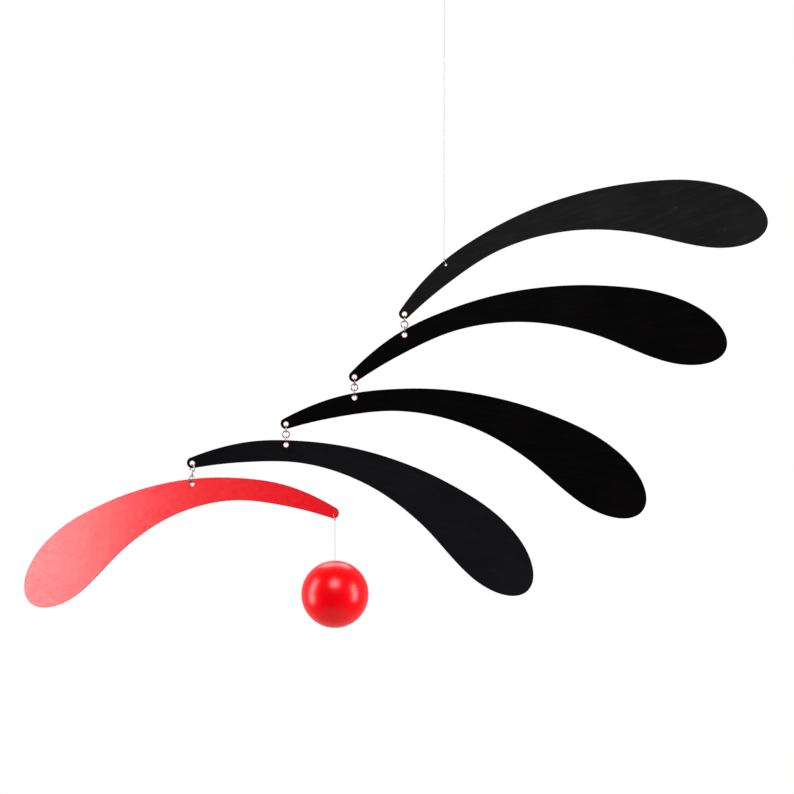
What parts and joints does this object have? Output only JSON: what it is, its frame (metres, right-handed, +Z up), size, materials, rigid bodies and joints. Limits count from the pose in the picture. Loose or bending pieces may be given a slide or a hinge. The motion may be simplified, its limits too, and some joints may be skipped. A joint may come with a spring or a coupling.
{
  "type": "hanging mobile sculpture",
  "caption": "Hanging mobile of curved leaf-shaped blades that balance one below another on ring links, the lowest with a ball on a thread.",
  "frame": {"origin": "inner top of the loop tied in the upper end of the suspension line, where a hook carries it", "axes": "+X to the right along the widest direction of the mobile as it hangs at rest, +Y away from the side it is seen from, +Z up along the suspension line"},
  "size_m": [0.6752, 0.1864, 0.5722],
  "materials": {
    "black_sheet": "satin",
    "red_sheet": "satin",
    "ring_steel": "polished",
    "red_ball": "satin",
    "clear_nylon": "gloss"
  },
  "bodies": {
    "top_blade": {"suspension_line": "clear_nylon", "black_blade_1": "black_sheet", "link_1_ring_a": "ring_steel", "link_1_ring_b": "ring_steel"},
    "second_blade": {"link_1_ring_c": "ring_steel", "black_blade_2": "black_sheet", "link_2_ring_a": "ring_steel", "link_2_ring_b": "ring_steel"},
    "third_blade": {"link_2_ring_c": "ring_steel", "black_blade_3": "black_sheet", "link_3_ring_a": "ring_steel", "link_3_ring_b": "ring_steel"},
    "fourth_blade": {"link_3_ring_c": "ring_steel", "black_blade_4": "black_sheet", "link_4_ring_a": "ring_steel", "link_4_ring_b": "ring_steel"},
    "lowest_blade": {"link_4_ring_c": "ring_steel", "red_blade": "red_sheet", "ball_thread": "clear_nylon", "ball": "red_ball"}
  },
  "joints": [
    {"name": "link_1_swivel", "type": "hinge", "parent": "top_blade", "child": "second_blade", "pos_m": [-0.03556, 0, -0.31434], "axis": [0, 0, 1], "range_deg": [-40, 40]},
    {"name": "link_2_swivel", "type": "hinge", "parent": "second_blade", "child": "third_blade", "pos_m": [-0.08059, -0.00063, -0.37092], "axis": [0, 0, 1], "range_deg": [-40, 40]},
    {"name": "link_3_swivel", "type": "hinge", "parent": "third_blade", "child": "fourth_blade", "pos_m": [-0.14199, -0.00806, -0.41282], "axis": [0, 0, 1], "range_deg": [-40, 40]},
    {"name": "link_4_swivel", "type": "hinge", "parent": "fourth_blade", "child": "lowest_blade", "pos_m": [-0.22505, -0.02939, -0.44657], "axis": [0, 0, 1], "range_deg": [-75, 15]}
  ]
}
